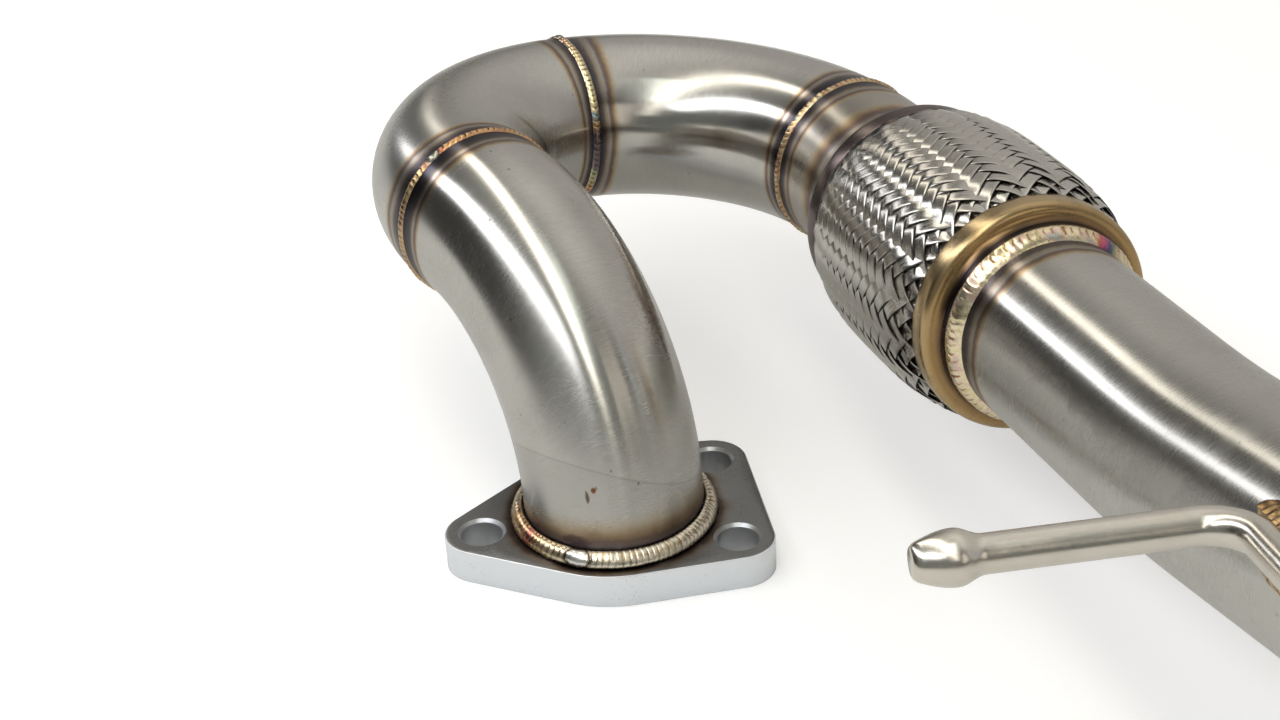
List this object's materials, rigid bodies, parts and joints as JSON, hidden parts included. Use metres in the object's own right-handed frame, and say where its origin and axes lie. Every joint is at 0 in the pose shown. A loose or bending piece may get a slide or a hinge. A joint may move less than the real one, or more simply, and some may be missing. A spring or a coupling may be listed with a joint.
{
  "type": "exhaust j-pipe",
  "caption": "Welded stainless exhaust pipe that hooks round in a J: bolted inlet flange, mandrel bends, braided flex joint, straight outlet and a bulb-ended hanger rod.",
  "frame": {"origin": "centre of the tube bore on the inlet flange's sealing face", "axes": "+Z out of the flange along the first leg of the pipe, +Y towards the J's closed end, +X towards the flex joint's side"},
  "size_m": [0.316, 0.4772, 0.1691],
  "materials": {
    "plated_flange": "zinc grey satin, bright edge, speckled top",
    "straw_weld": "rippled weld bead with pale gold tint",
    "dark_weld": "rippled weld bead with orange and brown tint",
    "brushed_tube": "brushed satin with heat tint beside the welds",
    "dark_cap": "satin with dark purple-brown heat tint",
    "gold_cap": "satin with gold heat tint",
    "bellows_steel": "smooth thin sheet",
    "braid_wire": "bright drawn wire in flat strands",
    "polished_rod": "polished round bar"
  },
  "bodies": {
    "root": {"inlet_flange": "plated_flange", "inlet_flange_weld": "straw_weld", "inlet_bore_weld": "dark_weld", "first_bend": "brushed_tube", "first_butt_weld": "dark_weld", "second_bend": "brushed_tube", "second_butt_weld": "dark_weld", "third_bend": "brushed_tube", "third_butt_weld": "dark_weld", "fourth_bend": "brushed_tube", "flex_inlet_weld": "dark_weld", "flex_inlet_cap": "dark_cap", "flex_liner": "bellows_steel", "flex_bellows": "bellows_steel", "flex_braid": "braid_wire", "flex_outlet_cap": "gold_cap", "flex_outlet_weld": "straw_weld", "outlet_pipe": "brushed_tube", "hanger_rod": "polished_rod", "hanger_weld_left": "dark_weld", "hanger_weld_right": "dark_weld"}
  },
  "joints": []
}
